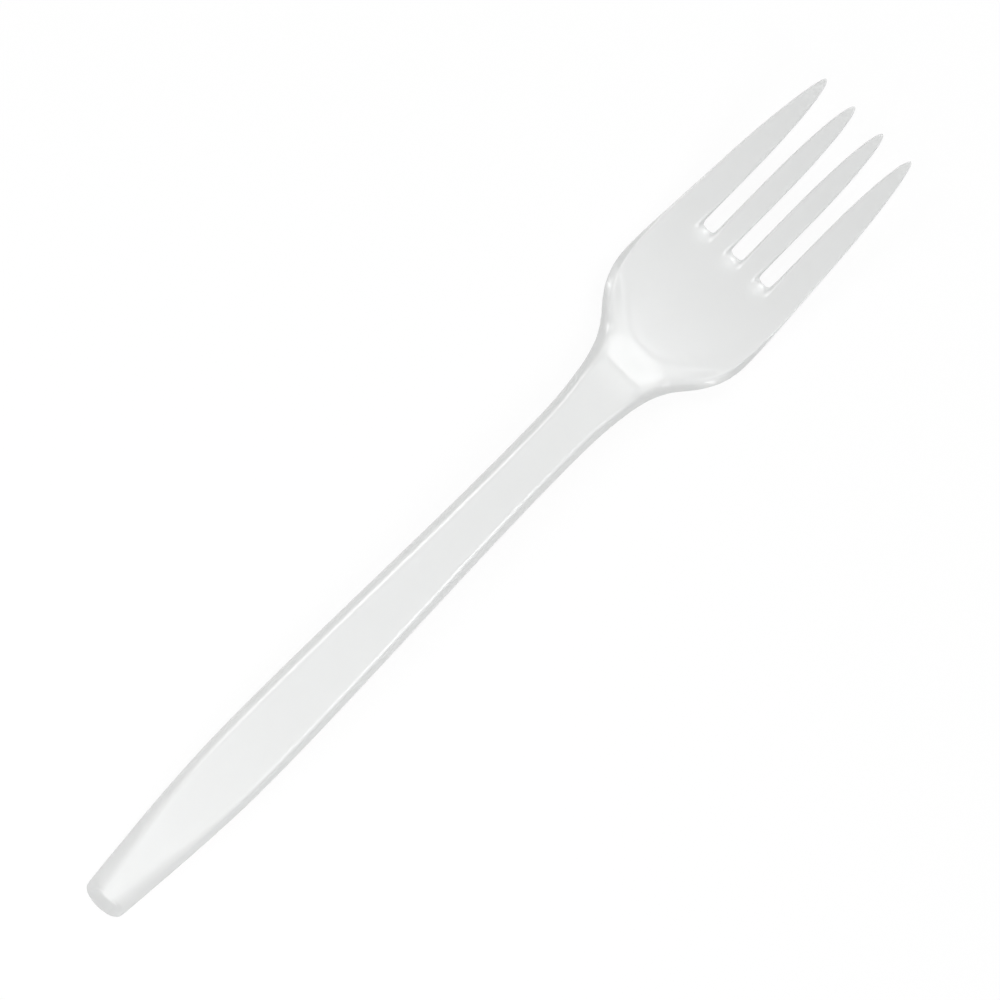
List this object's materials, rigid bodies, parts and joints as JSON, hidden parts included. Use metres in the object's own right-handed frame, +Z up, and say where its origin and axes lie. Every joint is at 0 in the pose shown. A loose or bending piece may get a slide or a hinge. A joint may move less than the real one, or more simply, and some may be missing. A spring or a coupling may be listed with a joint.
{
  "type": "disposable plastic fork",
  "caption": "Light moulded fork with slender tapered tines, a shallow dished head and a long arched handle with turned-down edges, for eating.",
  "frame": {"origin": "on the table, below the middle of the fork's own box, the fork lying hollow side up", "axes": "+X along the handle towards the tips of the tines, +Z up, +Y across the tines"},
  "size_m": [0.165, 0.0254, 0.0097],
  "materials": {
    "white_plastic": "white polystyrene with a soft moulded sheen"
  },
  "bodies": {
    "root": {"fork": "white_plastic"}
  },
  "joints": []
}
